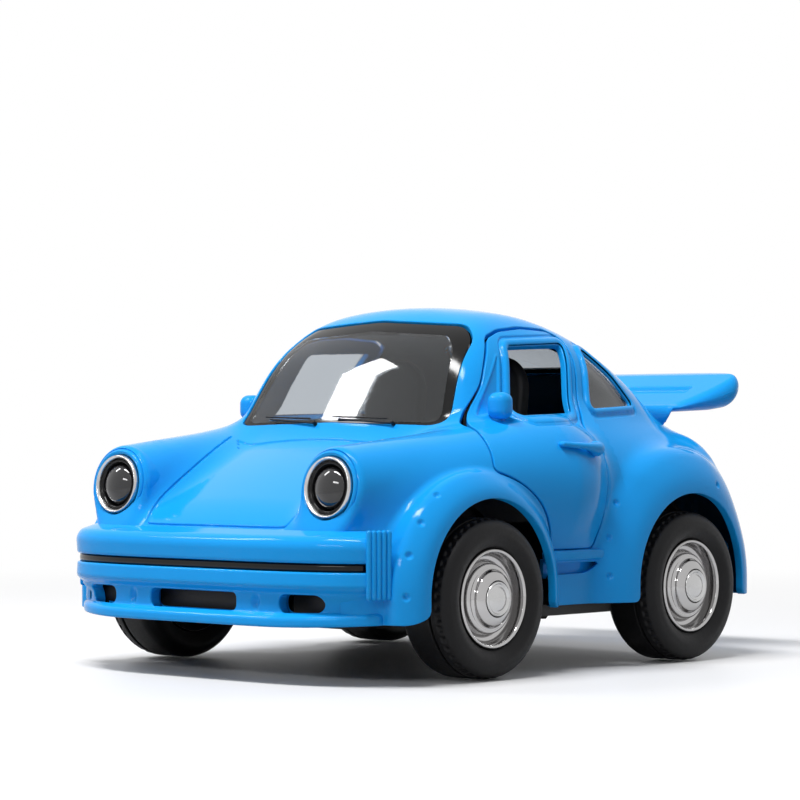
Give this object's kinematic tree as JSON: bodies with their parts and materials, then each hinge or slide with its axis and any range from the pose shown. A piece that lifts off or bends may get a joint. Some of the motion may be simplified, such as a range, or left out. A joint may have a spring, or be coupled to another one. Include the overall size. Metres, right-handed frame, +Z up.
{
  "type": "pull back car",
  "caption": "Small enamelled toy car with flared arches, round headlamps, a tail wing, opening doors and a pull-back motor geared to its rear axle.",
  "frame": {"origin": "on the ground below the middle of the wheelbase, at the centre of the bounding box's base", "axes": "+X forward, +Y to the car's left, +Z up"},
  "size_m": [0.106, 0.0746, 0.057],
  "materials": {
    "blue_enamel": "gloss enamel on a zinc casting",
    "clear_plastic": "clear moulded",
    "red_plastic": "gloss moulded",
    "tyre_rubber": "matt",
    "chrome_plate": "polished",
    "steel": "satin",
    "gear_plastic": "moulded",
    "black_plastic": "moulded"
  },
  "bodies": {
    "car": {"body_shell": "blue_enamel", "tail_wing": "blue_enamel", "windscreen": "clear_plastic", "rear_window": "clear_plastic", "left_quarter_window": "clear_plastic", "right_quarter_window": "clear_plastic", "wipers": "black_plastic", "left_headlamp_rim": "chrome_plate", "right_headlamp_rim": "chrome_plate", "left_headlamp_bowl": "black_plastic", "right_headlamp_bowl": "black_plastic", "left_headlamp_lens": "clear_plastic", "right_headlamp_lens": "clear_plastic", "bumper_strip": "black_plastic", "intake_grilles": "black_plastic", "left_tail_lamp": "red_plastic", "right_tail_lamp": "red_plastic", "chassis": "black_plastic", "chassis_screws": "steel", "interior_tub": "black_plastic", "left_seat": "black_plastic", "right_seat": "black_plastic", "rear_bench": "black_plastic", "dashboard": "black_plastic", "steering_wheel": "black_plastic", "left_hinge_pin": "steel", "right_hinge_pin": "steel", "motor_case_left": "black_plastic", "motor_case_right": "black_plastic", "motor_screws": "steel", "idler_pin": "steel", "spring_arbor": "steel", "mainspring": "steel"},
    "front_wheelset": {"front_axle": "steel", "front_left_rim": "chrome_plate", "front_right_rim": "chrome_plate", "front_left_hub_cap": "chrome_plate", "front_right_hub_cap": "chrome_plate", "front_left_tyre": "tyre_rubber", "front_right_tyre": "tyre_rubber"},
    "rear_wheelset": {"rear_axle": "steel", "axle_pinion": "gear_plastic", "rear_left_rim": "chrome_plate", "rear_right_rim": "chrome_plate", "rear_left_hub_cap": "chrome_plate", "rear_right_hub_cap": "chrome_plate", "rear_left_tyre": "tyre_rubber", "rear_right_tyre": "tyre_rubber"},
    "left_door": {"left_door": "blue_enamel"},
    "right_door": {"right_door": "blue_enamel"},
    "idler": {"idler_gear": "gear_plastic"},
    "drum": {"spring_drum": "gear_plastic"}
  },
  "joints": [
    {"name": "front_axle_spin", "type": "hinge", "parent": "car", "child": "front_wheelset", "pos_m": [0.0246, 0, 0.012], "axis": [0, 1, 0], "continuous": true},
    {"name": "rear_axle_spin", "type": "hinge", "parent": "car", "child": "rear_wheelset", "pos_m": [-0.0246, 0, 0.012], "axis": [0, 1, 0], "continuous": true},
    {"name": "idler_spin", "type": "hinge", "parent": "car", "child": "idler", "pos_m": [-0.01591, 0, 0.01433], "axis": [0, 1, 0], "continuous": true},
    {"name": "drum_spin", "type": "hinge", "parent": "car", "child": "drum", "pos_m": [-0.00691, 0, 0.01433], "axis": [0, 1, 0], "continuous": true},
    {"name": "left_door_swing", "type": "hinge", "parent": "car", "child": "left_door", "pos_m": [0.024, 0.031, 0.03], "axis": [0, 0, -1], "range_deg": [0, 55]},
    {"name": "right_door_swing", "type": "hinge", "parent": "car", "child": "right_door", "pos_m": [0.024, -0.031, 0.03], "axis": [0, 0, 1], "range_deg": [0, 55]}
  ],
  "couplings": [
    {"joint": "idler_spin", "follows": "rear_axle_spin", "ratio": -0.5},
    {"joint": "drum_spin", "follows": "rear_axle_spin", "ratio": 0.25}
  ]
}
